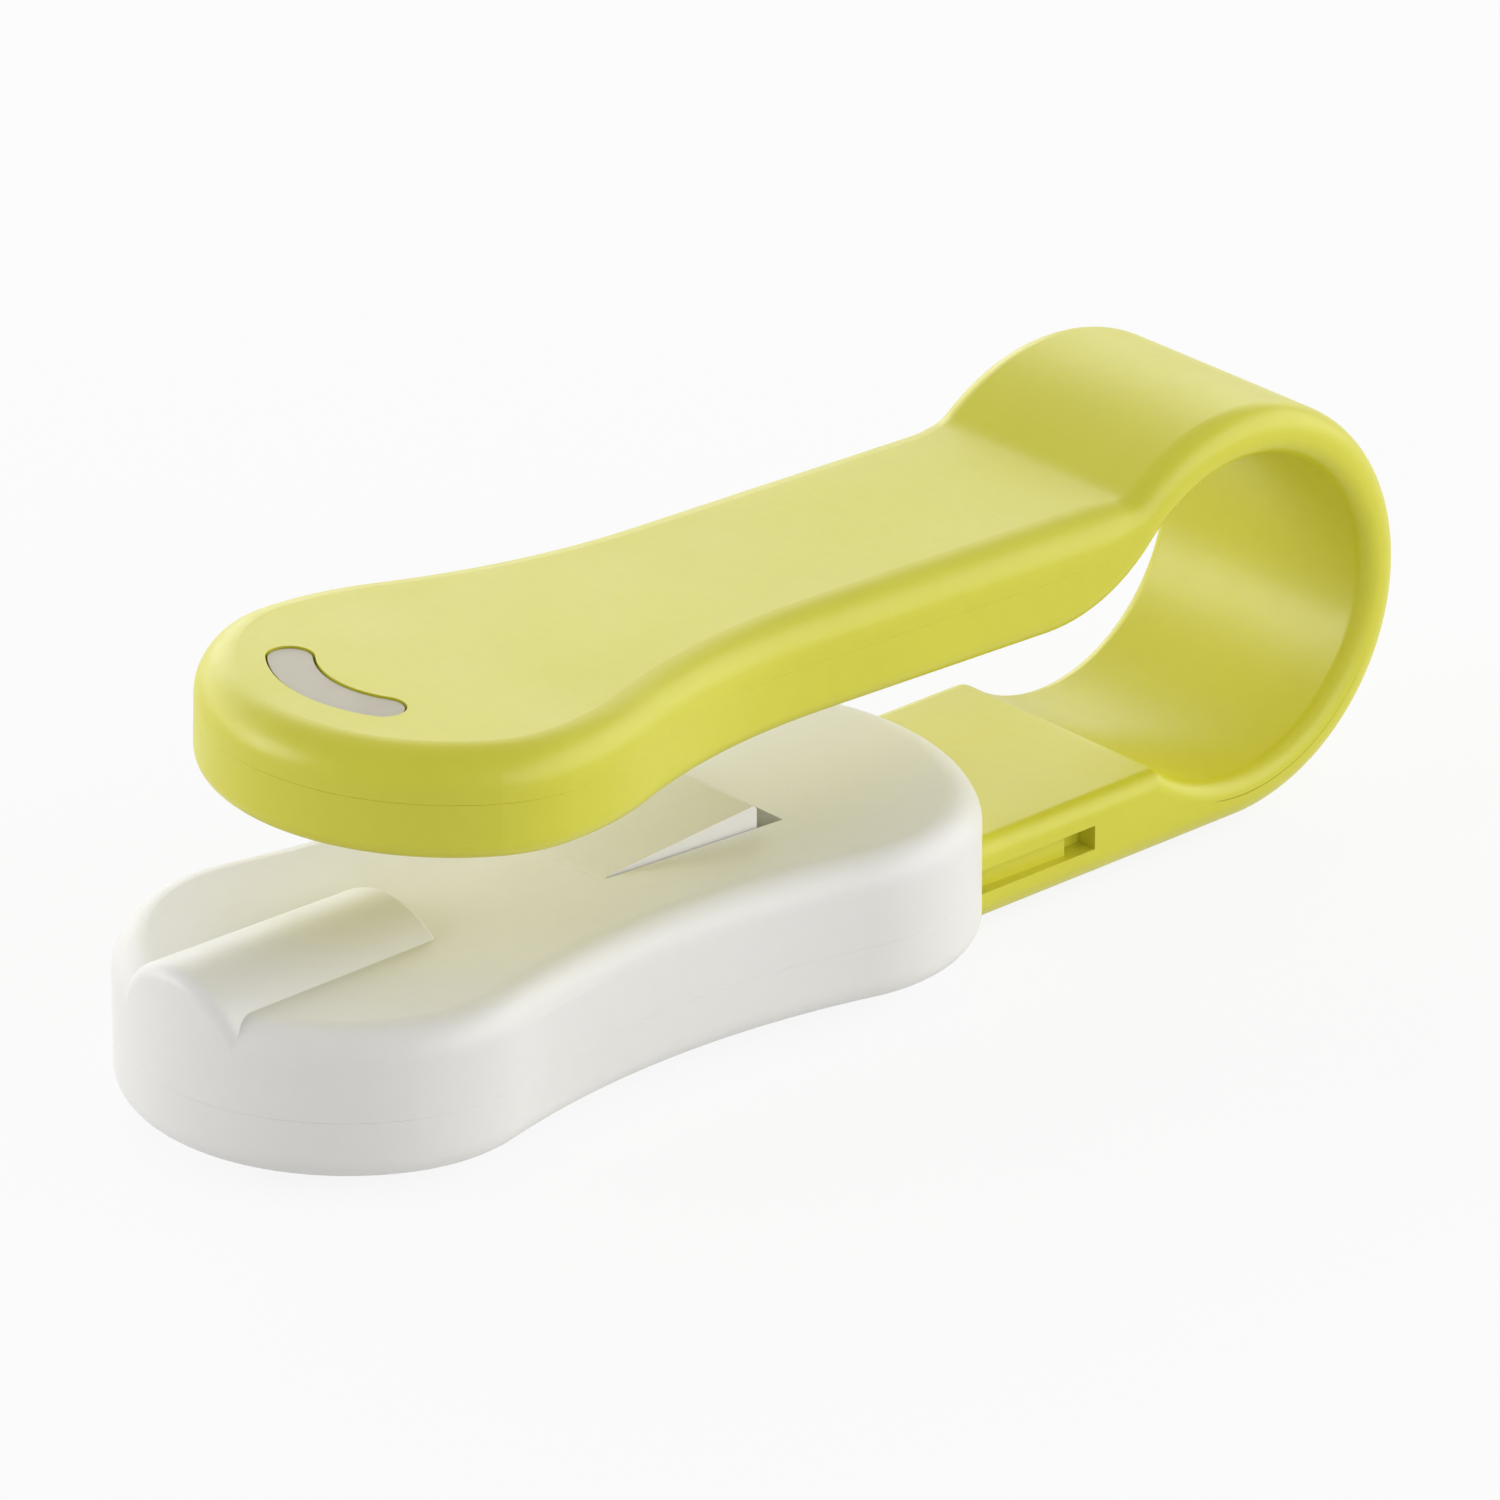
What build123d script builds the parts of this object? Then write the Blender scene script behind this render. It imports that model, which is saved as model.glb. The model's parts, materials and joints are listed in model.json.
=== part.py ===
from build123d import *
from math import acos, cos, degrees, hypot, radians, sin, sqrt
import os

# Frame: X runs from the jaw's nose (-X) to the loop (+X), Y across the strap, Z up from the jaw's underside.
# All sizes are in millimetres.
LENGTH = 122.6
STRAP_HALF = 12.5
OUTER_EDGE_R = 2.4
INNER_EDGE_R = 1.6

# Lower arm; the split is measured forward from the loop's axis
ARM_BASE_Z = 0.85
ARM_TOP_Z = 8.2
ARM_TIP_CORNER_R = 3.0
SHOULDER_R = 1.5
LOWER_SPLIT = 6.7

# Spring loop, and the crease where it meets the upper arm
LOOP_R = 18.1
LOOP_WALL = 4.1
CREASE_R = 3.0

# Upper arm, in its own frame: top face at z = 0, x measured from the point above the loop's axis
UPPER_DROP = 4.7
UPPER_PITCH = 2.0
UPPER_THICK = 9.0
UPPER_EDGE_R = 3.2
SEAM_DEPTH = 4.0
UPPER_SPLIT = -15.2
UNDERSIDE_BLEND_R = 15.5
SEAM_CHAMFER = 0.06
PADDLE_SETBACK = 9.4
PADDLE_WIDEST = 16.2
PADDLE_HALF = 18.9
PADDLE_CORNER_R = 12.3
PADDLE_CHEEK_R = 27.0
PADDLE_WAIST_R = 61.0
COVER_FLOOR = 2.0
PADDLE_CAVITY = (5.9, 27.9)
PADDLE_CAVITY_W = 28.0
PADDLE_CAVITY_R = 9.0
STEM_CAVITY_GAP = 2.5
STEM_CAVITY_END = 9.5
STEM_CAVITY_W = 20.0
STEM_CAVITY_R = 3.0

# Thumb inlay; its centre is measured from the paddle's nose
INLAY_BACK = 19.0
INLAY_SIDE = 1.1
INLAY_R = 10.95
INLAY_W = 3.95
INLAY_FROM = 141.6
INLAY_SPAN = 67.4
INLAY_POCKET = 1.2
INLAY_SINK = 0.15
INLAY_GAP = 0.2

# Grip pad under the paddle, measured from the paddle's nose
PAD_BACK = 4.0
PAD_L = 24.0
PAD_W = 16.0
PAD_CORNER_R = 3.0
PAD_RECESS = 0.6
PAD_PROUD = 0.5
PAD_GAP = 0.1

# Jaw; places along it are measured from its nose
JAW_LENGTH = 78.6
JAW_SEAM_Z = 7.0
JAW_TOP_Z = 14.5
JAW_TOP_R = 2.8
JAW_EDGE_Z = 2.4
JAW_EDGE_R = 2.2
JAW_BELLY_W = 5.3
JAW_FRONT = (17.0, 18.5, 14.5)
JAW_REAR = (62.4, 19.2, 14.9)
JAW_WAIST_R = 72.0
CHANNEL_BACK = 10.8
SLIDE_GAP = 0.15
SLIDE_TRAVEL = 16.0
END_GAP = 0.5
CORE_ROOF = 2.2
CORES = [(23.8, 22.0, 21.0), (67.8, 10.0, 17.0)]
CORE_CORNER_R = 2.0

# Bead on the jaw's nose
BEAD_L = 22.95
BEAD_FRONT = (5.7, 2.7)
BEAD_REAR = (5.6, 2.1)
BEAD_LEAD = 3.0
BEAD_NOSE_R = 1.2
BEAD_END_R = 0.5

# Catch tongue
TONGUE_BACK = 40.15
TONGUE_L = 15.1
TONGUE_ROOT_HALF = 6.2
TONGUE_END_HALF = 7.4
TONGUE_RISE = 1.9
TONGUE_ROOT_R = 1.0
TONGUE_GAP = 0.3
TONGUE_SLOT = 2.4
TONGUE_EDGE_R = 0.4

# Detent: nubs on two leaf springs run in the arm's side grooves
NUB_BACK = 70.4
NUB_R = 1.2
NUB_BITE = 0.45
GROOVE_Z0 = 3.8
GROOVE_Z1 = 5.9
GROOVE_LEAD = 4.15
GROOVE_DEEP = 1.3
GROOVE_SHALLOW = 0.75
WINDOW_L = 2.7
WINDOW_DEEP = 2.0
LEAF_T = 0.8
LEAF_IN = 1.1
LEAF_Z0 = 3.5
LEAF_Z1 = 6.7
LEAF_L = 14.6
LEAF_TAIL = 1.45
ANCHOR_L = 3.0
ANCHOR_T = 2.4
LEAF_ROOM = 0.5
LEAF_GAP = 0.05
NUB_GAP = 0.2
GATE_GAP = 0.4

# Locating pins between the jaw shells, on the upper shell
PINS = [(18.8, 15.6), (51.3, 14.9)]
PIN_R = 1.1
PIN_L = 3.2
PIN_GAP = 0.05

# Screws; the front ones are measured from the nose, the arm's rear ones from its split
SCREW_R = 0.95
HEAD_R = 1.9
HEAD_H = 1.2
HEAD_GAP = 0.25
BORE_GAP = 0.05
PASS_GAP = 0.2
CROSS_W = 0.55
CROSS_L = 2.2
CROSS_DEEP = 0.7
BOSS_R = 2.6
BOSS_GAP = 0.1
COVER_SCREW_FRONT = (10.4, 12.4)
COVER_SCREW_REAR = (17.5, 7.0)
COVER_SCREW_L = 5.2
COVER_HEAD_SINK = 0.15
JAW_SCREW = (6.3, 6.5)
JAW_SCREW_L = 8.0
JAW_SEAT_Z = 2.6
BORE_EXTRA = 0.4

# Places that follow from the sizes above
JAW_NOSE = -LENGTH / 2
LOOP_X = LENGTH / 2 - LOOP_R
LOOP_Z = ARM_BASE_Z + LOOP_R
EYE_R = LOOP_R - LOOP_WALL
LOWER_SPLIT_X = LOOP_X - LOWER_SPLIT
UPPER_Z = LOOP_Z + LOOP_R - UPPER_DROP
UPPER_PLACE = Pos(LOOP_X, 0, UPPER_Z) * Rot(0, UPPER_PITCH, 0)
PADDLE_NOSE = -(LENGTH - LOOP_R - PADDLE_SETBACK) / cos(radians(UPPER_PITCH))
INLAY_X = PADDLE_NOSE + INLAY_BACK
PAD_X = PADDLE_NOSE + PAD_BACK + PAD_L / 2
CHANNEL_X0 = JAW_NOSE + CHANNEL_BACK
CHANNEL_TOP = ARM_TOP_Z + SLIDE_GAP
CHANNEL_HALF = STRAP_HALF + SLIDE_GAP
ARM_TIP_X = CHANNEL_X0 + END_GAP + SLIDE_TRAVEL
BEAD_END_X = JAW_NOSE + BEAD_L
TONGUE_ROOT_X = JAW_NOSE + TONGUE_BACK
TONGUE_END_X = TONGUE_ROOT_X + TONGUE_L
ROOT_Z = JAW_TOP_Z - TONGUE_ROOT_R
NUB_X = JAW_NOSE + NUB_BACK
WINDOWS = (NUB_X, NUB_X + SLIDE_TRAVEL)
LEAF_X1 = NUB_X + LEAF_TAIL
LEAF_X0 = LEAF_X1 - LEAF_L
COVER_SCREWS = [(PADDLE_NOSE + COVER_SCREW_FRONT[0], COVER_SCREW_FRONT[1]),
                (UPPER_SPLIT - COVER_SCREW_REAR[0], COVER_SCREW_REAR[1])]
JAW_SCREWS = [(JAW_NOSE + JAW_SCREW[0], JAW_SCREW[1])]
BIG = 60.0


def upper_point(x, z):
    """A point of the upper arm's own frame, in the shared frame."""
    t = radians(UPPER_PITCH)
    return (LOOP_X + x * cos(t) + z * sin(t), UPPER_Z - x * sin(t) + z * cos(t))


def outline(curves):
    """A face bounded by curves on the +Y side and their mirror images."""
    edges = [e for c in curves for e in c.edges()]
    return make_face(edges + [mirror(e, Plane.XZ) for e in edges])


def arc(centre, r, p0, p1):
    """The shorter arc of a circle between two of its points."""
    mx = (p0[0] + p1[0]) / 2 - centre[0]
    my = (p0[1] + p1[1]) / 2 - centre[1]
    k = r / hypot(mx, my)
    return ThreePointArc(p0, (centre[0] + k * mx, centre[1] + k * my), p1)


def toward(a, b, d):
    """The point at a distance from a on the line to b."""
    k = d / hypot(b[0] - a[0], b[1] - a[1])
    return (a[0] + k * (b[0] - a[0]), a[1] + k * (b[1] - a[1]))


def cap_radius(dx, dy, r):
    """Radius of the end arc, centred on the axis, that touches a corner circle at dx, dy from the end."""
    return (dx * dx + dy * dy - r * r) / (2 * (dx - r))


def waist_centre(a, ra, b, rb):
    """The point above two centres at the given distances from them."""
    span = hypot(b[0] - a[0], b[1] - a[1])
    along = (ra * ra - rb * rb + span * span) / (2 * span)
    off = sqrt(ra * ra - along * along)
    ux, uy = (b[0] - a[0]) / span, (b[1] - a[1]) / span
    return (a[0] + along * ux - off * uy, a[1] + along * uy + off * ux)


def jaw_face():
    front_x, front_half, front_r = JAW_FRONT
    rear_x, rear_half, rear_r = JAW_REAR
    nose, tail = (JAW_NOSE, 0), (JAW_NOSE + JAW_LENGTH, 0)
    front = (JAW_NOSE + front_x, front_half - front_r)
    rear = (JAW_NOSE + rear_x, rear_half - rear_r)
    nose_r = cap_radius(front_x, front[1], front_r)
    tail_r = cap_radius(JAW_LENGTH - rear_x, rear[1], rear_r)
    nose_c, tail_c = (nose[0] + nose_r, 0), (tail[0] - tail_r, 0)
    waist = waist_centre(front, front_r + JAW_WAIST_R, rear, rear_r + JAW_WAIST_R)
    p1 = toward(nose_c, front, nose_r)
    p2 = toward(front, waist, front_r)
    p3 = toward(rear, waist, rear_r)
    p4 = toward(tail_c, rear, tail_r)
    return outline([arc(nose_c, nose_r, nose, p1), arc(front, front_r, p1, p2),
                    arc(waist, JAW_WAIST_R, p2, p3), arc(rear, rear_r, p3, p4),
                    arc(tail_c, tail_r, p4, tail)])


def paddle_face():
    nose = (PADDLE_NOSE, 0)
    widest = (PADDLE_NOSE + PADDLE_WIDEST, PADDLE_HALF)
    corner = (widest[0], PADDLE_HALF - PADDLE_CORNER_R)
    cheek = (widest[0], PADDLE_HALF - PADDLE_CHEEK_R)
    nose_r = cap_radius(PADDLE_WIDEST, corner[1], PADDLE_CORNER_R)
    nose_c = (nose[0] + nose_r, 0)
    reach = PADDLE_CHEEK_R + PADDLE_WAIST_R
    waist_y = STRAP_HALF + PADDLE_WAIST_R
    waist = (cheek[0] + sqrt(reach ** 2 - (waist_y - cheek[1]) ** 2), waist_y)
    p1 = toward(nose_c, corner, nose_r)
    p2 = toward(cheek, waist, PADDLE_CHEEK_R)
    p3 = (waist[0], STRAP_HALF)
    end = (UPPER_SPLIT, STRAP_HALF)
    return outline([arc(nose_c, nose_r, nose, p1), arc(corner, PADDLE_CORNER_R, p1, widest),
                    arc(cheek, PADDLE_CHEEK_R, widest, p2), arc(waist, PADDLE_WAIST_R, p2, p3),
                    Line(p3, end), Line(end, (UPPER_SPLIT, 0))])


def block(x0, x1, y0, y1, z0, z1):
    return Pos((x0 + x1) / 2, (y0 + y1) / 2, (z0 + z1) / 2) * Box(x1 - x0, y1 - y0, z1 - z0)


def across(face, half):
    """A profile drawn on the XZ plane, run to both sides of it."""
    return extrude(face, half, both=True)


def rod(x, y, z0, z1, r):
    return Pos(x, y, (z0 + z1) / 2) * Cylinder(r, z1 - z0)


def bar(x, z, r, half):
    """A round bar along Y."""
    return Pos(x, 0, z) * Rot(90, 0, 0) * Cylinder(r, 2 * half)


def profile(points):
    return make_face(Plane.XZ * Polyline(*points, close=True))


def both_sides(places):
    return [(x, s * y) for x, y in places for s in (1, -1)]


def eye_point(deg):
    """A point of the eye's wall, by the angle from its top towards the front."""
    return (LOOP_X - EYE_R * sin(radians(deg)), LOOP_Z + EYE_R * cos(radians(deg)))


def underside_blend():
    """Centre of the arc from the eye into the upper arm's underside, and its angle on the eye."""
    t = radians(UPPER_PITCH)
    rise = UNDERSIDE_BLEND_R + (UPPER_Z - LOOP_Z) * cos(t) - UPPER_THICK
    reach = EYE_R + UNDERSIDE_BLEND_R
    turn = acos(rise / reach) - t
    centre = (LOOP_X - reach * sin(turn), LOOP_Z + reach * cos(turn))
    return centre, degrees(turn)


def on_blend(centre, x):
    """The blend arc's lower point at a given x of the shared frame."""
    return (x, centre[1] - sqrt(UNDERSIDE_BLEND_R ** 2 - (x - centre[0]) ** 2))


def side_edges(solid, test):
    """The long edges of an extruded strap that pass a test on their middle point."""
    picked = []
    for e in solid.edges():
        mid = e.position_at(0.5)
        on_side = abs(abs(mid.Y) - STRAP_HALF) < 0.01
        if on_side and abs(abs(e.position_at(0.02).Y) - STRAP_HALF) < 0.01 and test(mid.X, mid.Z):
            picked.append(e)
    return picked


def loop_end_face():
    """The two corners of the loop's front end, on the upper arm's split plane."""
    centre, _ = underside_blend()
    top = upper_point(UPPER_SPLIT, 0)
    low, high = -UPPER_THICK, 0.0
    for _ in range(60):
        mid = (low + high) / 2
        x, z = upper_point(UPPER_SPLIT, mid)
        if z < on_blend(centre, x)[1]:
            low = mid
        else:
            high = mid
    return top, upper_point(UPPER_SPLIT, (low + high) / 2)


def crease_arc():
    """Centre of the hollow arc between the loop and the arm's top, and its points on both."""
    t = radians(UPPER_PITCH)
    rise = CREASE_R + (UPPER_Z - LOOP_Z) * cos(t)
    run = sqrt((LOOP_R + CREASE_R) ** 2 - rise ** 2)
    centre = (LOOP_X - run * cos(t) + rise * sin(t), LOOP_Z + run * sin(t) + rise * cos(t))
    leave = toward((LOOP_X, LOOP_Z), centre, LOOP_R)
    land = (centre[0] - CREASE_R * sin(t), centre[1] - CREASE_R * cos(t))
    return centre, leave, land


def spring_loop():
    centre, turn = underside_blend()
    top, bottom = loop_end_face()
    t = radians(UPPER_PITCH)
    crease, leave, land = crease_arc()
    seat = (LOWER_SPLIT_X, LOOP_Z - sqrt(EYE_R ** 2 - (LOWER_SPLIT_X - LOOP_X) ** 2))
    wall = eye_point(turn)
    curves = [
        Line((LOWER_SPLIT_X, ARM_BASE_Z), (LOOP_X, ARM_BASE_Z)),
        ThreePointArc((LOOP_X, ARM_BASE_Z), (LOOP_X + LOOP_R, LOOP_Z), leave),
        arc(crease, CREASE_R, leave, land),
        Line(land, top),
        Line(top, bottom),
        arc(centre, UNDERSIDE_BLEND_R, bottom, wall),
        ThreePointArc(wall, (LOOP_X + EYE_R, LOOP_Z), seat),
        Line(seat, (LOWER_SPLIT_X, ARM_BASE_Z)),
    ]
    face = make_face([Plane.XZ * c for c in curves])
    body = across(face, STRAP_HALF)

    def off_centre(x, z):
        return sqrt((x - LOOP_X) ** 2 + (z - LOOP_Z) ** 2)

    def is_inner(x, z):
        blend = abs(sqrt((x - centre[0]) ** 2 + (z - centre[1]) ** 2) - UNDERSIDE_BLEND_R) < 0.01
        return abs(off_centre(x, z) - EYE_R) < 0.01 or (blend and x < wall[0] + 0.01)

    def is_outer(x, z):
        at_low_split = abs(x - LOWER_SPLIT_X) < 0.01
        along = (x - LOOP_X) * cos(t) - (z - UPPER_Z) * sin(t)
        at_high_split = abs(along - UPPER_SPLIT) < 0.01
        return not (at_low_split or at_high_split or is_inner(x, z))

    body = fillet(side_edges(body, is_outer), OUTER_EDGE_R)
    return fillet(side_edges(body, is_inner), INNER_EDGE_R)


def arm_grooves():
    """Side grooves that get shallower towards the rear window, and the two windows on each side."""
    cuts = []
    for s in (1, -1):
        deep = s * (STRAP_HALF - GROOVE_DEEP)
        shallow = s * (STRAP_HALF - GROOVE_SHALLOW)
        edge = s * (STRAP_HALF + 1)
        x0 = NUB_X - GROOVE_LEAD
        x1 = WINDOWS[1]
        run = Polyline((x0, deep), (NUB_X, deep), (x1, shallow), (x1, edge), (x0, edge), close=True)
        cuts.append(Pos(0, 0, GROOVE_Z0) * extrude(make_face(run), GROOVE_Z1 - GROOVE_Z0, dir=(0, 0, 1)))
        for x in WINDOWS:
            y0, y1 = sorted((s * (STRAP_HALF - WINDOW_DEEP), edge))
            cuts.append(block(x - WINDOW_L / 2, x + WINDOW_L / 2, y0, y1, GROOVE_Z0, GROOVE_Z1))
    return cuts


def lower_arm():
    shoulder_x = LOOP_X - sqrt(EYE_R ** 2 - (LOOP_Z - ARM_TOP_Z) ** 2)
    body = block(ARM_TIP_X, LOWER_SPLIT_X, -STRAP_HALF, STRAP_HALF, ARM_BASE_Z, ARM_TOP_Z)
    body = fillet(body.edges().filter_by(Axis.Z).group_by(Axis.X)[0], ARM_TIP_CORNER_R)
    body -= bar(LOOP_X, LOOP_Z, EYE_R, BIG)
    shoulder = [e for e in body.edges() if abs(e.center().X - shoulder_x) < 0.01
                and abs(e.center().Y) < 0.01 and abs(e.center().Z - ARM_TOP_Z) < 0.01]
    body = fillet(shoulder, SHOULDER_R)

    def rim(z_side):
        picked = []
        for e in body.edges():
            mid = e.center()
            level = abs(mid.Z - ARM_BASE_Z) < 0.01 if z_side < 0 else e.bounding_box().max.Z > ARM_TOP_Z - 4
            flat = e.bounding_box().size.Z < 4 and mid.X < LOWER_SPLIT_X - 0.01
            across_y = e.bounding_box().size.Y > 20 and mid.X > ARM_TIP_X + 1
            at_top = e.bounding_box().min.Z > ARM_BASE_Z + 3
            if level and flat and not across_y and (z_side < 0 or at_top):
                picked.append(e)
        return picked

    body = fillet(rim(-1), OUTER_EDGE_R)
    body = fillet(rim(1), INNER_EDGE_R)
    for cut in arm_grooves():
        body -= cut
    return body


def inlay_slot(gap):
    arc = CenterArc((INLAY_X, INLAY_SIDE), INLAY_R, INLAY_FROM, INLAY_SPAN)
    return SlotArc(arc, INLAY_W - 2 * gap)


def pad_slab(gap, z0, z1):
    face = RectangleRounded(PAD_L - 2 * gap, PAD_W - 2 * gap, PAD_CORNER_R)
    return Pos(PAD_X, 0, z0) * extrude(face, z1 - z0)


def top_rim(body, z):
    """Edges of an extruded outline at one level, without the straight one on the split plane."""
    flat = [e for e in body.edges() if e.bounding_box().size.Z < 0.01 and abs(e.center().Z - z) < 0.01]
    return [e for e in flat if e.center().X < UPPER_SPLIT - 0.01]


def upper_arm_shell():
    body = Pos(0, 0, -SEAM_DEPTH) * extrude(paddle_face(), SEAM_DEPTH)
    body = fillet(top_rim(body, 0), UPPER_EDGE_R)
    body -= Pos(0, 0, -INLAY_POCKET) * extrude(inlay_slot(0), INLAY_POCKET + 1)
    floor = COVER_FLOOR - UPPER_THICK
    for x, y in both_sides(COVER_SCREWS):
        body += rod(x, y, floor, -SEAM_DEPTH, BOSS_R)
        tip = HEAD_H + COVER_HEAD_SINK - UPPER_THICK + COVER_SCREW_L
        body -= rod(x, y, floor - 1, tip + BORE_EXTRA, SCREW_R + BORE_GAP)
    return UPPER_PLACE * body


def cover_cavities():
    """Two rooms inside the cover, one under the paddle and one along the stem."""
    front, back = (PADDLE_NOSE + d for d in PADDLE_CAVITY)
    stem = (back + STEM_CAVITY_GAP, UPPER_SPLIT - STEM_CAVITY_END)
    rooms = []
    for (x0, x1), width, r in (((front, back), PADDLE_CAVITY_W, PADDLE_CAVITY_R),
                               (stem, STEM_CAVITY_W, STEM_CAVITY_R)):
        room = extrude(RectangleRounded(x1 - x0, width, r), UPPER_THICK)
        rooms.append(Pos((x0 + x1) / 2, 0, COVER_FLOOR - UPPER_THICK) * room)
    return rooms


def upper_arm_cover():
    centre, _ = underside_blend()
    body = Pos(0, 0, -UPPER_THICK) * extrude(paddle_face(), UPPER_THICK - SEAM_DEPTH)
    body = chamfer(top_rim(body, -SEAM_DEPTH), SEAM_CHAMFER)
    body = UPPER_PLACE * body
    start = centre[0] - UNDERSIDE_BLEND_R * sin(radians(UPPER_PITCH))
    behind = block(start, BIG, -BIG, BIG, 0, centre[1])
    body -= behind - bar(centre[0], centre[1], UNDERSIDE_BLEND_R, BIG)
    body = UPPER_PLACE.inverse() * body
    low = [e for e in body.edges() if e.center().Z < -SEAM_DEPTH - 1 and e.center().X < UPPER_SPLIT - 0.2
           and not (e.bounding_box().size.Y > 20 and e.bounding_box().size.X < 0.1)]
    low = [e for e in low if not (e.bounding_box().size.Z > 1 and e.bounding_box().size.X < 1)]
    body = fillet(low, INNER_EDGE_R)
    for room in cover_cavities():
        body -= room
    body -= pad_slab(0, -UPPER_THICK - 1, PAD_RECESS - UPPER_THICK)
    for x, y in both_sides(COVER_SCREWS):
        seat = COVER_HEAD_SINK + HEAD_H - UPPER_THICK
        body -= rod(x, y, -UPPER_THICK - 1, seat, HEAD_R + HEAD_GAP)
        body -= rod(x, y, seat - 1, -SEAM_DEPTH, SCREW_R + PASS_GAP)
        body -= rod(x, y, COVER_FLOOR - UPPER_THICK, -SEAM_DEPTH, BOSS_R + BOSS_GAP)
    return UPPER_PLACE * body


def thumb_inlay():
    thick = INLAY_POCKET - INLAY_SINK
    return UPPER_PLACE * Pos(0, 0, -INLAY_POCKET) * extrude(inlay_slot(INLAY_GAP), thick)


def grip_pad():
    return UPPER_PLACE * pad_slab(PAD_GAP, -UPPER_THICK - PAD_PROUD, PAD_RECESS - UPPER_THICK)


def screw(length):
    """A pan-head screw pointing up: the head's underside is at z = 0."""
    head = Pos(0, 0, -HEAD_H / 2) * Cylinder(HEAD_R, HEAD_H)
    head = fillet(head.edges().group_by(Axis.Z)[0], HEAD_H / 3)
    shank = Pos(0, 0, length / 2) * Cylinder(SCREW_R, length)
    shank = chamfer(shank.edges().group_by(Axis.Z)[-1], SCREW_R / 2)
    cross = Box(CROSS_L, CROSS_W, CROSS_DEEP) + Box(CROSS_W, CROSS_L, CROSS_DEEP)
    return head + shank - Pos(0, 0, CROSS_DEEP / 2 - HEAD_H) * cross


def arm_cover_screws():
    seat = COVER_HEAD_SINK + HEAD_H - UPPER_THICK
    one = screw(COVER_SCREW_L)
    return Compound(children=[UPPER_PLACE * Pos(x, y, seat) * one for x, y in both_sides(COVER_SCREWS)])


def jaw_screws():
    one = screw(JAW_SCREW_L)
    return Compound(children=[Pos(x, y, JAW_SEAT_Z) * one for x, y in both_sides(JAW_SCREWS)])


def channel():
    room = block(CHANNEL_X0, BIG, -CHANNEL_HALF, CHANNEL_HALF, ARM_BASE_Z - SLIDE_GAP, CHANNEL_TOP)
    return fillet(room.edges().filter_by(Axis.X).group_by(Axis.Z)[0], OUTER_EDGE_R + SLIDE_GAP)


def bead_section(x, half, height):
    """The bead cut across at x: a round crest that runs on down below the jaw's rolled top edge."""
    r = (half ** 2 + height ** 2) / (2 * height)
    crest = JAW_TOP_Z + height
    low = JAW_TOP_Z - JAW_TOP_R - 1
    y = sqrt(r ** 2 - (low - crest + r) ** 2)
    plane = Plane(origin=(x, 0, 0), x_dir=(0, 1, 0), z_dir=(1, 0, 0))
    rim = [ThreePointArc((-y, low), (0, crest), (y, low)), Line((y, low), (-y, low))]
    return make_face([plane * c for c in rim])


def bead():
    front_x, front_half, front_r = JAW_FRONT
    nose_r = cap_radius(front_x, front_half - front_r, front_r)
    ahead = [a + (a - b) * BEAD_LEAD / BEAD_L for a, b in zip(BEAD_FRONT, BEAD_REAR)]
    ends = [bead_section(JAW_NOSE - BEAD_LEAD, *ahead), bead_section(BEAD_END_X, *BEAD_REAR)]
    body = loft(ends, ruled=True) & rod(JAW_NOSE + nose_r, 0, 0, BIG, nose_r)

    def crest_edges(test):
        mids = [(e, e.position_at(0.5)) for e in body.edges()]
        return [e for e, m in mids if m.Z > JAW_TOP_Z and test(m.X)]

    body = fillet(crest_edges(lambda x: x < JAW_NOSE + 5), BEAD_NOSE_R)
    return fillet(crest_edges(lambda x: abs(x - BEAD_END_X) < 0.01), BEAD_END_R)


def tongue_plan(grow, x1):
    """The tongue's outline seen from above, widened by the slit and run on to a given x."""
    slope = (TONGUE_END_HALF - TONGUE_ROOT_HALF) / (TONGUE_END_X - TONGUE_ROOT_X)
    x0 = TONGUE_ROOT_X - TONGUE_ROOT_R - grow
    y0 = TONGUE_ROOT_HALF + grow - slope * (TONGUE_ROOT_R + grow)
    y1 = y0 + slope * (x1 - x0)
    return make_face(Polyline((x0, -y0), (x1, -y1), (x1, y1), (x0, y0), close=True))


def tongue_pocket():
    """Room around and under the tongue, open to the channel below."""
    floor = ARM_TOP_Z
    x1 = TONGUE_END_X + TONGUE_SLOT
    room = Pos(0, 0, floor) * extrude(tongue_plan(TONGUE_GAP, x1), BIG)
    keep = block(TONGUE_ROOT_X - BIG, TONGUE_ROOT_X, -BIG, BIG, floor - 1, BIG)
    return room - (keep - bar(TONGUE_ROOT_X, ROOT_Z, TONGUE_ROOT_R + TONGUE_GAP, BIG))


def catch_tongue():
    low = ROOT_Z - TONGUE_ROOT_R
    high = JAW_TOP_Z + TONGUE_RISE
    wedge = across(profile([(TONGUE_ROOT_X, low), (TONGUE_END_X, low), (TONGUE_END_X, high),
                            (TONGUE_ROOT_X, JAW_TOP_Z)]), BIG)
    root = bar(TONGUE_ROOT_X, ROOT_Z, TONGUE_ROOT_R, BIG)
    body = (wedge + root) & extrude(tongue_plan(0, TONGUE_END_X), BIG)
    rear = [e for e in body.edges() if e.center().X > TONGUE_END_X - 0.01 and e.center().Z > high - 0.1]
    return fillet(rear, TONGUE_EDGE_R)


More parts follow.
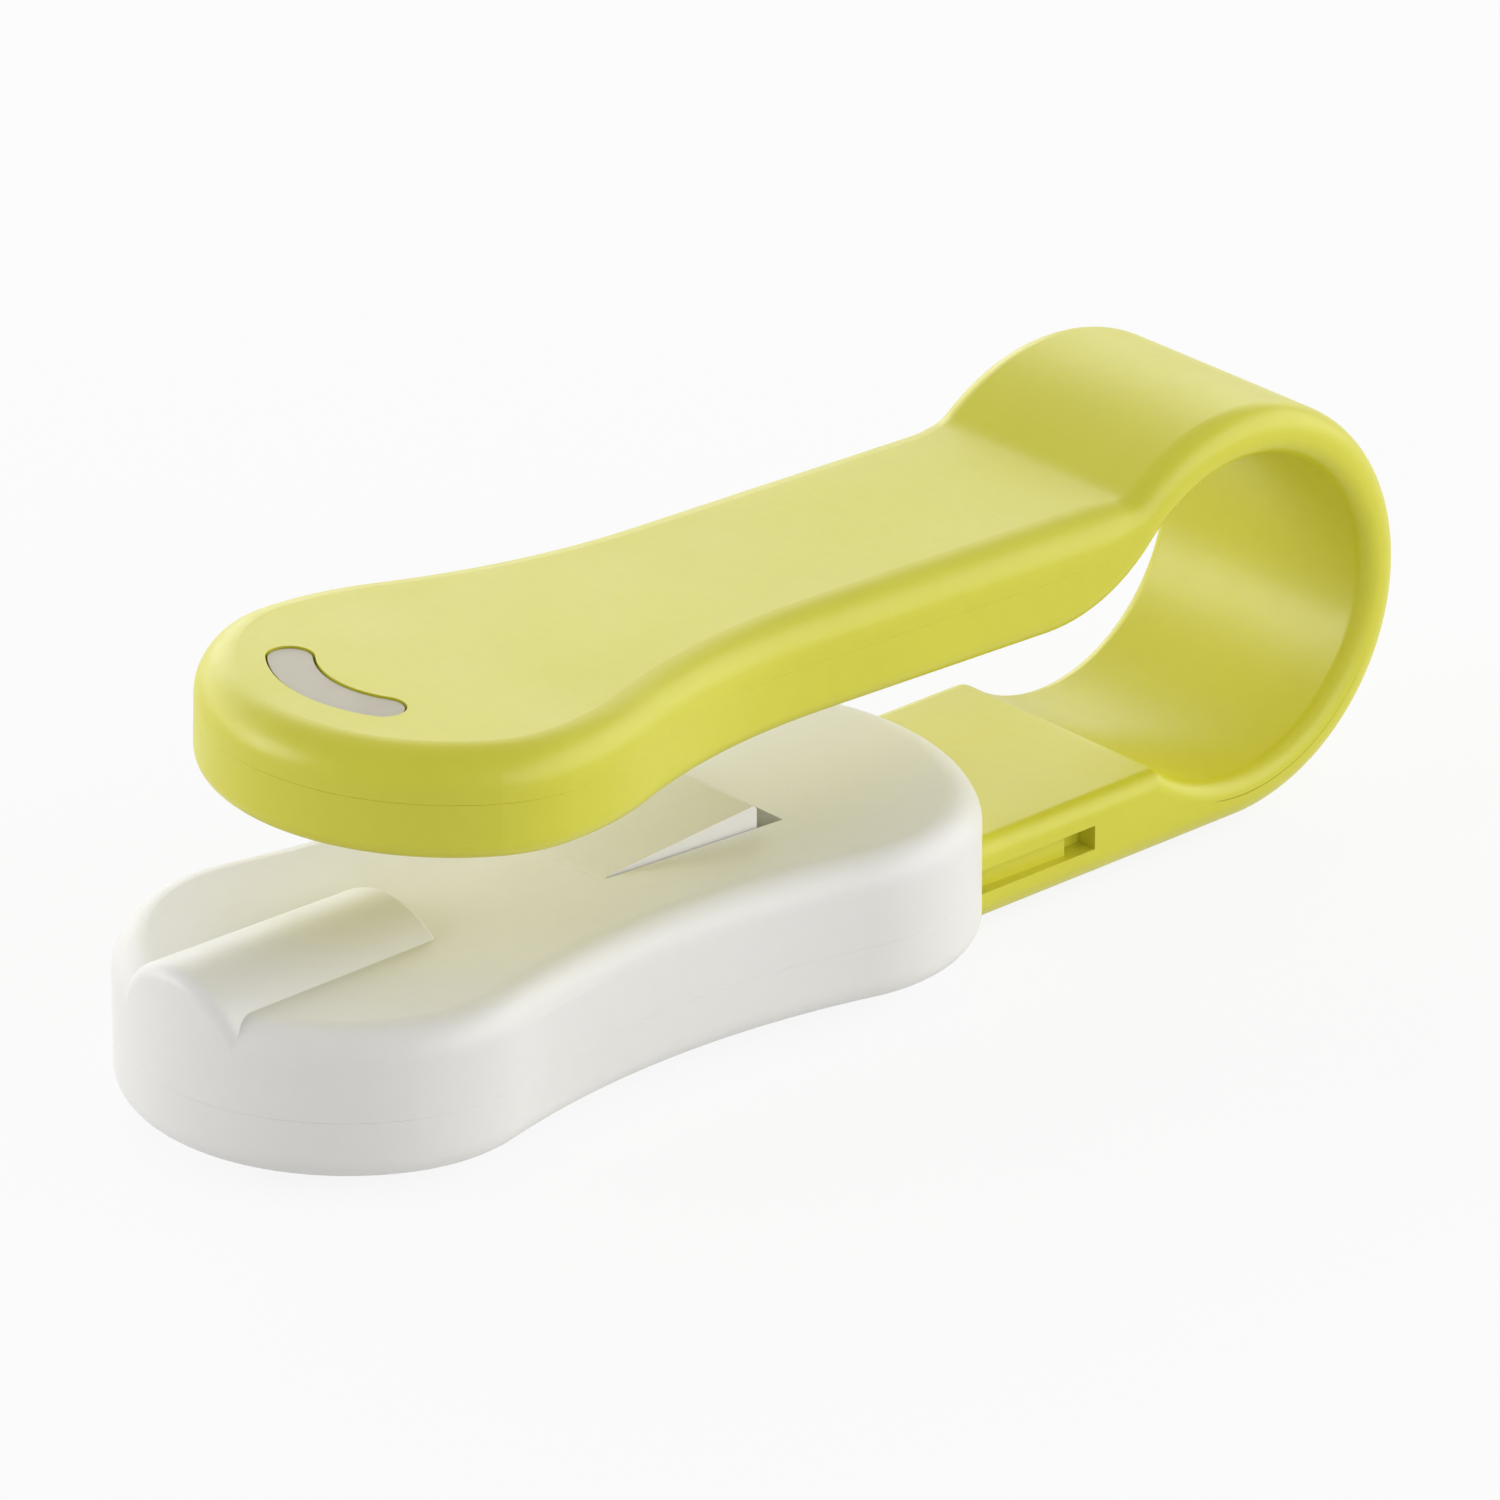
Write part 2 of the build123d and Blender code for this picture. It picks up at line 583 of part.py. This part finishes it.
def leaf_room(side, grow):
    """Room for one detent leaf, its anchor and its nub, open towards the seam and the arm."""
    y_in = STRAP_HALF + LEAF_IN
    y_out = y_in + LEAF_T + LEAF_ROOM
    z0 = LEAF_Z0 - grow
    anchor = block(LEAF_X0 - grow, LEAF_X0 + ANCHOR_L + grow, y_in - grow, y_in + ANCHOR_T + grow, z0, BIG)
    sweep = block(LEAF_X0 + ANCHOR_L, LEAF_X1 + grow, y_in - grow, y_out, z0, BIG)
    gate_z = GROOVE_Z0 - NUB_GAP
    gate = block(NUB_X - NUB_R - GATE_GAP, LEAF_X1 + grow, STRAP_HALF - NUB_R, y_out, gate_z, BIG)
    room = anchor + sweep + gate
    return room if side > 0 else mirror(room, Plane.XZ)


def detent_spring(side):
    y_in = STRAP_HALF + LEAF_IN
    leaf = block(LEAF_X0, LEAF_X1, y_in, y_in + LEAF_T, LEAF_Z0, LEAF_Z1)
    anchor = block(LEAF_X0, LEAF_X0 + ANCHOR_L, y_in, y_in + ANCHOR_T, LEAF_Z0, LEAF_Z1)
    z0, z1 = GROOVE_Z0 + NUB_GAP, GROOVE_Z1 - NUB_GAP
    tip_y = STRAP_HALF - NUB_BITE + NUB_R
    stem = block(NUB_X - NUB_R, NUB_X + NUB_R, tip_y, y_in + LEAF_T / 2, z0, z1)
    body = leaf + anchor + stem + rod(NUB_X, tip_y, z0, z1, NUB_R)
    return body if side > 0 else mirror(body, Plane.XZ)


def jaw_upper_shell():
    face = jaw_face()
    body = Pos(0, 0, JAW_SEAM_Z) * extrude(face, JAW_TOP_Z - JAW_SEAM_Z)
    body = fillet(body.edges().group_by(Axis.Z)[-1], JAW_TOP_R)
    body += bead()
    body -= channel()
    for x, length, width in CORES:
        room = extrude(RectangleRounded(length, width, CORE_CORNER_R), JAW_TOP_Z - CORE_ROOF - ARM_TOP_Z)
        body -= Pos(JAW_NOSE + x, 0, ARM_TOP_Z) * room
    body -= tongue_pocket()
    for x, y in both_sides(JAW_SCREWS):
        body -= rod(x, y, 0, JAW_SEAT_Z + JAW_SCREW_L + BORE_EXTRA, SCREW_R + BORE_GAP)
    for x, y in both_sides(PINS):
        body += rod(JAW_NOSE + x, y, JAW_SEAM_Z - PIN_L, JAW_SEAM_Z + PIN_R / 2, PIN_R)
    return body


def jaw_lower_shell():
    body = extrude(jaw_face(), JAW_SEAM_Z)
    base = body.faces().sort_by(Axis.Z)[0]
    body = chamfer(base.edges(), JAW_BELLY_W, JAW_EDGE_Z, reference=base)
    rim = [e for e in body.edges() if e.bounding_box().size.Z < 0.01 and abs(e.center().Z - JAW_EDGE_Z) < 0.01]
    body = fillet(rim, JAW_EDGE_R)
    body = chamfer(body.edges().group_by(Axis.Z)[-1], SEAM_CHAMFER)
    body -= channel()
    for side in (1, -1):
        body -= leaf_room(side, LEAF_GAP)
    for x, y in both_sides(JAW_SCREWS):
        body -= rod(x, y, -1, JAW_SEAT_Z, HEAD_R + HEAD_GAP)
        body -= rod(x, y, 0, BIG, SCREW_R + PASS_GAP)
    for x, y in both_sides(PINS):
        body -= rod(JAW_NOSE + x, y, JAW_SEAM_Z - PIN_L - BORE_EXTRA, BIG, PIN_R + PIN_GAP)
    return body


NODES = {
    "lower_arm": lower_arm,
    "spring_loop": spring_loop,
    "upper_arm_shell": upper_arm_shell,
    "upper_arm_cover": upper_arm_cover,
    "thumb_inlay": thumb_inlay,
    "grip_pad": grip_pad,
    "arm_cover_screws": arm_cover_screws,
    "jaw_upper_shell": jaw_upper_shell,
    "jaw_lower_shell": jaw_lower_shell,
    "catch_tongue": catch_tongue,
    "detent_spring_left": lambda: detent_spring(1),
    "detent_spring_right": lambda: detent_spring(-1),
    "jaw_screws": jaw_screws,
}

os.makedirs("parts", exist_ok=True)
for name, make in NODES.items():
    export_step(make(), os.path.join("parts", name + ".step"))
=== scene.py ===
import json
from math import acos, atan2, cos, pi, radians, sin, sqrt

import bpy
import numpy as np
from mathutils import Matrix, Vector

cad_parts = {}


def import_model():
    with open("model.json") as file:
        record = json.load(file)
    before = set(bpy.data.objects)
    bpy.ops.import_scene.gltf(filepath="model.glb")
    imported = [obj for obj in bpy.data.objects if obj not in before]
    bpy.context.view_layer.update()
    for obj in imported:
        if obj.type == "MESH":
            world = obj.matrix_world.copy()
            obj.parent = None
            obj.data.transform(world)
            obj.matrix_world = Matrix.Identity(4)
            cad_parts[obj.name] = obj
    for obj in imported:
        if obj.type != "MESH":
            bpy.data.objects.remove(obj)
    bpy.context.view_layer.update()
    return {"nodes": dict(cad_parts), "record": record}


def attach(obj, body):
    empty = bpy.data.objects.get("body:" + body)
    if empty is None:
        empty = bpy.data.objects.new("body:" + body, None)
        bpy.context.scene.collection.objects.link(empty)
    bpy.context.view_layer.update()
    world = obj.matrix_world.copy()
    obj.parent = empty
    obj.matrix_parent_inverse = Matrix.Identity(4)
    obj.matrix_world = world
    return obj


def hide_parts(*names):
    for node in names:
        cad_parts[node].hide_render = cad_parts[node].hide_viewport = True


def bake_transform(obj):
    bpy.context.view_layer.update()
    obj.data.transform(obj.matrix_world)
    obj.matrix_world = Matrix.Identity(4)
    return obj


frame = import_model()
nodes = frame["nodes"]
MM = 0.001

# Lengths in millimetres, as in the part's source
STRAP_HALF = 12.5
OUTER_EDGE_R = 2.4
INNER_EDGE_R = 1.6
UPPER_EDGE_R = 3.2
ARM_BASE_Z = 0.85
LOOP_X, LOOP_Z = 43.2, 18.95
LOOP_R, EYE_R = 18.1, 14.0
CREASE_R = 3.0
LOWER_SPLIT_X = 36.5
UPPER_Z = 32.35
UPPER_TILT = radians(2.0)
UPPER_THICK = 9.0
UPPER_SPLIT = -15.2
BLEND_R = 15.5
JAW_TOP_Z = 14.5
TONGUE_ROOT_X, TONGUE_ROOT_Z = -21.15, 13.5

# Where along the upper arm, and over what length, the strap's outer edge grows to the arm's
EDGE_GROWS_FROM, EDGE_GROWS_OVER = -11.6, 3.6
# How far the loop's curves run past the two splits before they are cut there, and where the inner one starts
OVERRUN = 3.0
EYE_START = -radians(135)

# Web at the tongue's root: a bent strip with a flat top, whose ends are given from the root
WEB_HALF = 6.44
WEB_OUTER_R, WEB_INNER_R = 1.28, 1.02
WEB_FLAT = (-0.79, -0.03)
WEB_SINK = 0.005

# Grip pad, in the upper arm's own frame; its middle is at PAD_X
PAD_X, PAD_L, PAD_W, PAD_R = -79.16, 23.8, 15.8, 3.0
PAD_RECESS, PAD_PROUD = 0.6, 0.5
PAD_ROLL, PAD_ROLL_W = 0.42, 0.6
RIB_DEPTH, RIB_PITCH, RIB_FADE = 0.30, 2.2, 0.8

# Stage: lengths in metres, and shares of white
FLOOR_HALF, FLOOR_Z = 3.0, -0.0002
FLOOR_WHITE, FLOOR_GLOW = 0.86, 0.88
WORLD_LIGHT = 0.36
LAMP_TARGET = (0.0, 0.0, 0.02)

# Camera: sizes in pixels of the frame or in millimetres, and a point of the clip with the pixel
# where it appears
FRAME_PX, FOCAL_PX, SENSOR = 1500, 14305.879, 36.0
CAMERA_AZIMUTH, CAMERA_ELEVATION, CAMERA_ROLL = radians(-42.342), radians(24.966), radians(-0.163)
CAMERA_DISTANCE = 1180.169
AIM, AIM_PX = (42.49, 0, 1.2), (1130.827, 773.437)


def upper_point(x, z):
    """A point of the upper arm's own frame, in the shared frame's X and Z."""
    return (LOOP_X + x * cos(UPPER_TILT) + z * sin(UPPER_TILT),
            UPPER_Z - x * sin(UPPER_TILT) + z * cos(UPPER_TILT))


def along_upper(x, z):
    """How far along the upper arm's own frame a point of the shared frame lies."""
    return (x - LOOP_X) * cos(UPPER_TILT) - (z - UPPER_Z) * sin(UPPER_TILT)


# Node materials

class Shader:
    """A Principled material whose sockets are fed by procedural nodes in object coordinates."""

    def __init__(self, name):
        self.material = bpy.data.materials.new(name)
        self.material.use_nodes = True
        self.tree = self.material.node_tree
        self.bsdf = self.tree.nodes["Principled BSDF"]
        self.coords = self.tree.nodes.new("ShaderNodeTexCoord").outputs["Object"]

    def add(self, kind, **values):
        node = self.tree.nodes.new(kind)
        for key, value in values.items():
            if key in node.inputs:
                node.inputs[key].default_value = value
            else:
                setattr(node, key, value)
        return node

    def link(self, out, into):
        self.tree.links.new(out, into)

    def stretched(self, scale):
        mapping = self.add("ShaderNodeMapping")
        mapping.inputs["Scale"].default_value = scale
        self.link(self.coords, mapping.inputs["Vector"])
        return mapping.outputs["Vector"]

    def noise(self, scale, detail=3.0, rough=0.5, vector=None):
        node = self.add("ShaderNodeTexNoise", Scale=scale, Detail=detail, Roughness=rough)
        self.link(vector or self.coords, node.inputs["Vector"])
        return node.outputs["Fac"]

    def spread(self, value, low, high, start=0.3, stop=0.7):
        node = self.add("ShaderNodeMapRange")
        self.link(value, node.inputs["Value"])
        for key, v in (("From Min", start), ("From Max", stop), ("To Min", low), ("To Max", high)):
            node.inputs[key].default_value = v
        return node.outputs["Result"]

    def combine(self, how, a, b):
        node = self.add("ShaderNodeMath", operation=how)
        for into, v in zip(node.inputs, (a, b)):
            if isinstance(v, (int, float)):
                into.default_value = v
            else:
                self.link(v, into)
        return node.outputs["Value"]

    def colours(self, value, stops):
        ramp = self.add("ShaderNodeValToRGB")
        marks = ramp.color_ramp.elements
        while len(marks) < len(stops):
            marks.new(0.5)
        for mark, (place, colour) in zip(marks, stops):
            mark.position = place
            mark.color = (*colour, 1.0)
        self.link(value, ramp.inputs["Fac"])
        self.link(ramp.outputs["Color"], self.bsdf.inputs["Base Color"])

    def roughness(self, value):
        self.link(value, self.bsdf.inputs["Roughness"])

    def bump(self, height, depth):
        node = self.add("ShaderNodeBump", Strength=1.0, Distance=depth)
        self.link(height, node.inputs["Height"])
        self.link(node.outputs["Normal"], self.bsdf.inputs["Normal"])


def moulded(name, light, middle, dark, rough, peel, cloud=45.0):
    """Moulded plastic: faint colour drift, uneven gloss and a fine skin that is peel metres deep."""
    s = Shader(name)
    drift = s.combine("ADD", s.combine("MULTIPLY", s.noise(cloud, 2.0), 0.7),
                      s.combine("MULTIPLY", s.noise(cloud * 14, 3.0), 0.3))
    s.colours(drift, [(0.3, dark), (0.5, middle), (0.7, light)])
    gloss = s.combine("ADD", s.spread(s.noise(cloud * 1.7, 3.0, 0.6), rough[0], rough[1]),
                      s.spread(s.noise(1300.0, 1.0), -0.02, 0.02))
    s.roughness(gloss)
    skin = s.combine("ADD", s.noise(420.0, 1.0), s.combine("MULTIPLY", s.noise(1500.0, 1.0), 0.2))
    s.bump(skin, peel)
    return s


def strap_material():
    s = moulded("strap_plastic", (0.686, 0.654, 0.045), (0.668, 0.636, 0.041), (0.648, 0.615, 0.037),
                (0.32, 0.40), 0.000010)
    s.bsdf.inputs["IOR"].default_value = 1.5
    return s.material


def jaw_material():
    s = moulded("jaw_plastic", (0.850, 0.840, 0.812), (0.835, 0.824, 0.795), (0.816, 0.804, 0.774),
                (0.40, 0.50), 0.000014)
    return s.material


def inlay_material():
    s = moulded("inlay_plastic", (0.510, 0.470, 0.365), (0.485, 0.447, 0.345), (0.460, 0.422, 0.325),
                (0.42, 0.52), 0.000030, cloud=90.0)
    return s.material


def spring_material():
    s = moulded("spring_plastic", (0.80, 0.79, 0.75), (0.77, 0.76, 0.72), (0.74, 0.73, 0.69),
                (0.28, 0.38), 0.000015, cloud=120.0)
    return s.material


def rubber_material():
    s = moulded("pad_rubber", (0.665, 0.625, 0.060), (0.640, 0.600, 0.054), (0.612, 0.572, 0.048),
                (0.66, 0.80), 0.000060, cloud=160.0)
    s.bsdf.inputs["Specular IOR Level"].default_value = 0.35
    return s.material


def steel_material():
    s = Shader("screw_steel")
    lines = s.noise(2400.0, 2.0, 0.6, s.stretched((1.0, 1.0, 0.12)))
    s.colours(lines, [(0.3, (0.46, 0.46, 0.47)), (0.7, (0.60, 0.60, 0.61))])
    s.roughness(s.spread(s.noise(700.0, 3.0), 0.24, 0.42))
    s.bump(lines, 0.000012)
    s.bsdf.inputs["Metallic"].default_value = 1.0
    return s.material


materials = {
    "strap": strap_material(),
    "jaw": jaw_material(),
    "inlay": inlay_material(),
    "spring": spring_material(),
    "pad": rubber_material(),
    "steel": steel_material(),
}


def finish_in(obj, slot):
    """Give an object the material of a slot."""
    obj.data.materials.clear()
    obj.data.materials.append(materials[slot])


for part in frame["record"]["subparts"]:
    finish_in(nodes[part["node"]], part["material_slot"])


def mesh_object(name, points, faces, slot, normals=None):
    """A smooth mesh from points in millimetres, in the material of a slot."""
    mesh = bpy.data.meshes.new(name)
    mesh.from_pydata([tuple(c * MM for c in p) for p in points], [], faces)
    mesh.validate()
    for face in mesh.polygons:
        face.use_smooth = True
    if normals is not None:
        mesh.normals_split_custom_set_from_vertices([tuple(n) for n in normals])
    obj = bpy.data.objects.new(name, mesh)
    bpy.context.scene.collection.objects.link(obj)
    finish_in(obj, slot)
    return obj


# The spring loop: one swept strap with rolled edges, cut off flush at the two splits

def arc_points(centre, radius, start, stop, steps, inward):
    """Points of an arc with the outward normal of the strap's surface there."""
    out = []
    for a in np.linspace(start, stop, steps):
        n = (cos(a), sin(a))
        p = (centre[0] + radius * n[0], centre[1] + radius * n[1])
        out.append((p, (-n[0], -n[1]) if inward else n))
    return out


def loop_curves():
    """The strap's outer and inner line around the loop, as points with their outward normals."""
    t = UPPER_TILT
    rise = CREASE_R + (UPPER_Z - LOOP_Z) * cos(t)
    run = sqrt((LOOP_R + CREASE_R) ** 2 - rise ** 2)
    crease = (LOOP_X - run * cos(t) + rise * sin(t), LOOP_Z + run * sin(t) + rise * cos(t))
    leave = atan2(crease[1] - LOOP_Z, crease[0] - LOOP_X)
    land = (crease[0] - CREASE_R * sin(t), crease[1] - CREASE_R * cos(t))
    past = upper_point(UPPER_SPLIT - OVERRUN, 0.0)
    up = (sin(t), cos(t))

    outer = [((x, ARM_BASE_Z), (0.0, -1.0)) for x in np.linspace(LOWER_SPLIT_X - OVERRUN, LOOP_X, 12)[:-1]]
    outer += arc_points((LOOP_X, LOOP_Z), LOOP_R, -pi / 2, leave, 120, False)
    outer += arc_points(crease, CREASE_R, leave - pi, -pi / 2 - t, 14, True)[1:]
    outer += [((land[0] + (past[0] - land[0]) * k, land[1] + (past[1] - land[1]) * k), up)
              for k in np.linspace(0, 1, 10)[1:]]

    lift = BLEND_R + (UPPER_Z - LOOP_Z) * cos(t) - UPPER_THICK
    turn = acos(lift / (EYE_R + BLEND_R)) - t
    middle = (LOOP_X - (EYE_R + BLEND_R) * sin(turn), LOOP_Z + (EYE_R + BLEND_R) * cos(turn))
    inner = arc_points((LOOP_X, LOOP_Z), EYE_R, EYE_START, pi / 2 + turn, 150, True)
    inner += arc_points(middle, BLEND_R, pi / 2 + turn - pi, -pi / 2 - t, 30, False)[1:]
    return outer, inner


def between_splits(row):
    """The two places in a row of points, as fractional indices, where it crosses the split planes."""
    low = np.array([p[0] - LOWER_SPLIT_X if p[1] < LOOP_Z else 1.0 for p in row])
    own = np.array([along_upper(p[0], p[1]) for p in row])
    high = np.where(row[:, 1] > LOOP_Z, own - UPPER_SPLIT, 1.0)
    half = len(row) // 2

    def crossing(values, lo, hi):
        for k in range(lo, hi):
            if values[k] * values[k + 1] <= 0:
                return k + values[k] / (values[k] - values[k + 1])
        raise ValueError("a row of the loop doesn't reach its split")

    return crossing(low, 0, half), crossing(high, half, len(row) - 1)


def along(row, places):
    """The points of a row at fractional indices."""
    k = np.arange(len(row))
    return np.stack([np.interp(places, k, row[:, c]) for c in range(row.shape[1])], 1)


def build_loop(stations=220, steps=12):
    outer, inner = loop_curves()
    rows, shades = [], []

    def rolled(curve, angle, side, grown):
        """Add the row of points and normals at one angle of a rolled edge."""
        points, normals = [], []
        for p, n in curve:
            r = OUTER_EDGE_R if grown else INNER_EDGE_R
            if grown:
                w = (EDGE_GROWS_FROM - along_upper(p[0], p[1])) / EDGE_GROWS_OVER
                w = min(max(w, 0.0), 1.0) if p[1] > LOOP_Z else 0.0
                r += (UPPER_EDGE_R - OUTER_EDGE_R) * w * w * (3 - 2 * w)
            back = r * (1 - cos(angle))
            points.append((p[0] - back * n[0], p[1] - back * n[1],
                           side * (STRAP_HALF - r * (1 - sin(angle)))))
            normals.append((n[0] * cos(angle), n[1] * cos(angle), side * sin(angle)))
        points, normals = np.array(points), np.array(normals)
        lo, hi = between_splits(points)
        places = lo + (hi - lo) * np.linspace(0, 1, stations)
        rows.append(along(points, places))
        shades.append(along(normals, places))

    quarter = np.linspace(0, pi / 2, steps + 1)
    for a in quarter:
        rolled(outer, a, 1, True)
    for a in quarter[::-1]:
        rolled(inner, a, 1, False)
    for a in quarter:
        rolled(inner, a, -1, False)
    for a in quarter[::-1]:
        rolled(outer, a, -1, True)

    def by_station(table):
        return [(row[k][0], row[k][2], row[k][1]) for k in range(stations) for row in table]

    count = len(rows)
    points, normals = by_station(rows), by_station(shades)
    faces = []
    for k in range(stations - 1):
        for r in range(count):
            s = (r + 1) % count
            faces.append((k * count + r, k * count + s, (k + 1) * count + s, (k + 1) * count + r))
    for k, turn in ((0, -1), (stations - 1, 1)):
        base = len(points)
        points += points[k * count:(k + 1) * count]
        normals += [(-1.0, 0.0, 0.0)] * count
        faces.append(tuple(range(base, base + count))[::turn])
    return mesh_object("loop_strap", points, faces, "strap", normals)


loop = build_loop()
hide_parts("spring_loop")
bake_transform(loop)


# The thin web by which the tongue hangs on the jaw

def build_web():
    def bend(r, start, stop):
        return [(TONGUE_ROOT_X + r * cos(a), TONGUE_ROOT_Z + r * sin(a))
                for a in np.linspace(radians(start), radians(stop), 9)]

    section = [p for p in bend(WEB_OUTER_R, 141, 91) if p[1] < JAW_TOP_Z - 2 * WEB_SINK]
    section += [(TONGUE_ROOT_X + x, JAW_TOP_Z - WEB_SINK) for x in WEB_FLAT]
    section += bend(WEB_INNER_R, 95, 141)
    points, faces = [], []
    spans = np.linspace(-WEB_HALF, WEB_HALF, 15)
    for y in spans:
        points += [(x, y, z) for x, z in section]
    n = len(section)
    for k in range(len(spans) - 1):
        for r in range(n):
            s = (r + 1) % n
            faces.append((k * n + r, (k + 1) * n + r, (k + 1) * n + s, k * n + s))
    faces.append(tuple(range(n)))
    faces.append(tuple((len(spans) - 1) * n + r for r in range(n))[::-1])
    web = mesh_object("tongue_root_web", points, faces, "jaw")
    for face in web.data.polygons:
        face.use_smooth = False
    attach(web, "jaw")


build_web()


# The grip pad: a rubber plate with cross ribs and rolled edges

def build_pad():
    half_l, half_w = PAD_L / 2, PAD_W / 2
    columns, across = 121, 41
    top, low = PAD_RECESS - UPPER_THICK, -UPPER_THICK - PAD_PROUD

    def width_at(x):
        over = abs(x) - (half_l - PAD_R)
        return half_w if over <= 0 else half_w - PAD_R + sqrt(max(PAD_R ** 2 - over ** 2, 0.0))

    points = []
    us = np.sin(np.linspace(-pi / 2, pi / 2, columns))
    vs = np.sin(np.linspace(-pi / 2, pi / 2, across))
    for u in us:
        x = u * half_l * 0.9999
        wide = width_at(x)
        for v in vs:
            y = v * wide
            edge = min(wide - abs(y), half_l - abs(x))
            rolled = PAD_ROLL * (1 - min(edge / PAD_ROLL_W, 1.0)) ** 2
            fade = min(max((edge - PAD_ROLL_W) / RIB_FADE, 0.0), 1.0)
            groove = RIB_DEPTH * (0.5 - 0.5 * cos(2 * pi * x / RIB_PITCH)) ** 2 * fade
            points.append((x, y, low + rolled + groove))
    faces = []
    for i in range(columns - 1):
        for j in range(across - 1):
            a = i * across + j
            faces.append((a, a + 1, a + across + 1, a + across))
    rim = list(range(across))
    rim += [i * across + across - 1 for i in range(1, columns)]
    rim += [(columns - 1) * across + j for j in range(across - 2, -1, -1)]
    rim += [i * across for i in range(columns - 2, 0, -1)]
    base = len(points)
    points += [(points[k][0], points[k][1], top) for k in rim]
    n = len(rim)
    for k in range(n):
        faces.append((rim[k], base + k, base + (k + 1) % n, rim[(k + 1) % n]))
    faces.append(tuple(base + k for k in range(n))[::-1])
    placed = []
    for x, y, z in points:
        far, up = upper_point(PAD_X + x, z)
        placed.append((far, y, up))
    pad = mesh_object("ribbed_pad", placed, faces, "pad")
    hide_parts("grip_pad")
    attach(pad, "upper_arm")


build_pad()


# Floor, light and camera

def seen_rays(tree):
    """1 for camera, glossy and transmission rays, 0 for the rays that only light other surfaces."""
    path = tree.nodes.new("ShaderNodeLightPath")
    value = path.outputs["Is Camera Ray"]
    for name in ("Is Glossy Ray", "Is Transmission Ray"):
        larger = tree.nodes.new("ShaderNodeMath")
        larger.operation = "MAXIMUM"
        tree.links.new(value, larger.inputs[0])
        tree.links.new(path.outputs[name], larger.inputs[1])
        value = larger.outputs[0]
    return value


def floor():
    """A pale floor that looks white to the camera and keeps a faint shadow."""
    mesh = bpy.data.meshes.new("floor")
    s, z = FLOOR_HALF, FLOOR_Z
    mesh.from_pydata([(-s, -s, z), (s, -s, z), (s, s, z), (-s, s, z)], [], [(0, 1, 2, 3)])
    obj = bpy.data.objects.new("floor", mesh)
    bpy.context.scene.collection.objects.link(obj)
    m = bpy.data.materials.new("floor_white")
    m.use_nodes = True
    tree = m.node_tree
    out = tree.nodes["Material Output"]
    diffuse = tree.nodes["Principled BSDF"]
    diffuse.inputs["Base Color"].default_value = (FLOOR_WHITE, FLOOR_WHITE, FLOOR_WHITE, 1)
    diffuse.inputs["Roughness"].default_value = 0.9
    diffuse.inputs["Specular IOR Level"].default_value = 0.0
    glow = tree.nodes.new("ShaderNodeEmission")
    glow.inputs["Strength"].default_value = 1.0
    share = tree.nodes.new("ShaderNodeMath")
    share.operation = "MULTIPLY"
    share.inputs[1].default_value = FLOOR_GLOW
    tree.links.new(seen_rays(tree), share.inputs[0])
    mix = tree.nodes.new("ShaderNodeMixShader")
    tree.links.new(share.outputs[0], mix.inputs["Fac"])
    tree.links.new(diffuse.outputs["BSDF"], mix.inputs[1])
    tree.links.new(glow.outputs["Emission"], mix.inputs[2])
    tree.links.new(mix.outputs["Shader"], out.inputs["Surface"])
    mesh.materials.append(m)


def world():
    """White where it is seen, dimmer as a light."""
    w = bpy.data.worlds.new("studio")
    bpy.context.scene.world = w
    w.use_nodes = True
    tree = w.node_tree
    back = tree.nodes["Background"]
    back.inputs["Color"].default_value = (1, 1, 1, 1)
    level = tree.nodes.new("ShaderNodeMapRange")
    level.inputs["To Min"].default_value = WORLD_LIGHT
    level.inputs["To Max"].default_value = 1.0
    tree.links.new(seen_rays(tree), level.inputs["Value"])
    tree.links.new(level.outputs["Result"], back.inputs["Strength"])


def soft_box(name, place, size, power):
    """A rectangular lamp that faces the clip."""
    data = bpy.data.lights.new(name, "AREA")
    data.shape = "RECTANGLE"
    data.size, data.size_y = size
    data.energy = power
    obj = bpy.data.objects.new(name, data)
    obj.location = place
    obj.rotation_euler = (Vector(LAMP_TARGET) - Vector(place)).to_track_quat("-Z", "Y").to_euler()
    bpy.context.scene.collection.objects.link(obj)


def camera():
    azimuth, elevation, roll = CAMERA_AZIMUTH, CAMERA_ELEVATION, CAMERA_ROLL
    back = Vector((sin(azimuth) * cos(elevation), -cos(azimuth) * cos(elevation), sin(elevation)))
    right = Vector((cos(azimuth), sin(azimuth), 0))
    up = back.cross(right)
    right, up = right * cos(roll) + up * sin(roll), up * cos(roll) - right * sin(roll)
    cx = (AIM_PX[0] - FRAME_PX / 2) / FOCAL_PX * CAMERA_DISTANCE
    cy = -(AIM_PX[1] - FRAME_PX / 2) / FOCAL_PX * CAMERA_DISTANCE
    centre = back * CAMERA_DISTANCE - right * cx - up * cy + Vector(AIM)
    data = bpy.data.cameras.new("photo_camera")
    data.sensor_fit = "HORIZONTAL"
    data.sensor_width = SENSOR
    data.lens = FOCAL_PX / FRAME_PX * SENSOR
    obj = bpy.data.objects.new("photo_camera", data)
    obj.matrix_world = Matrix.Translation(centre * MM) @ Matrix((right, up, back)).transposed().to_4x4()
    bpy.context.scene.collection.objects.link(obj)
    bpy.context.scene.camera = obj


floor()
world()
soft_box("left", (-0.70, 0.52, 0.26), (0.40, 0.40), 1.9)
soft_box("right", (0.50, -0.65, 0.36), (2.2, 0.7), 8.6)
soft_box("far", (-0.19, 0.88, 0.32), (2.2, 0.6), 6.4)
soft_box("back", (0.61, 0.67, 0.42), (1.0, 0.6), 1.9)
camera()
bpy.context.scene.view_settings.view_transform = "Standard"
